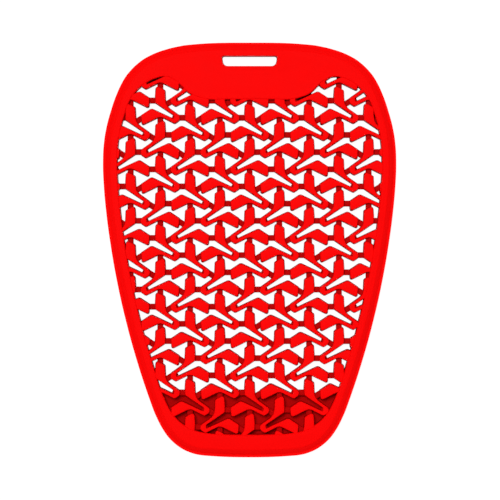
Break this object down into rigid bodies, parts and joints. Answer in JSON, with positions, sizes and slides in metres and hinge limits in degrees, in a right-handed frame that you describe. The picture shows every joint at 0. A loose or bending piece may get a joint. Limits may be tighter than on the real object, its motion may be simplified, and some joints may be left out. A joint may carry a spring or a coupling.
{
  "type": "hip protector insert",
  "caption": "One-piece moulded elastomer hip pad: a solid rim with a strap slot round an open lattice of hooked cells, lying flat.",
  "frame": {"origin": "middle of the flat back, on the plane the pad lies on", "axes": "+Y along the pad towards the strap slot, +X across it, +Z out of its face"},
  "size_m": [0.1416, 0.2, 0.0095],
  "materials": {
    "red_elastomer": "smooth satin moulded elastomer, red right through"
  },
  "bodies": {
    "root": {"lattice_pad": "red_elastomer"}
  },
  "joints": []
}
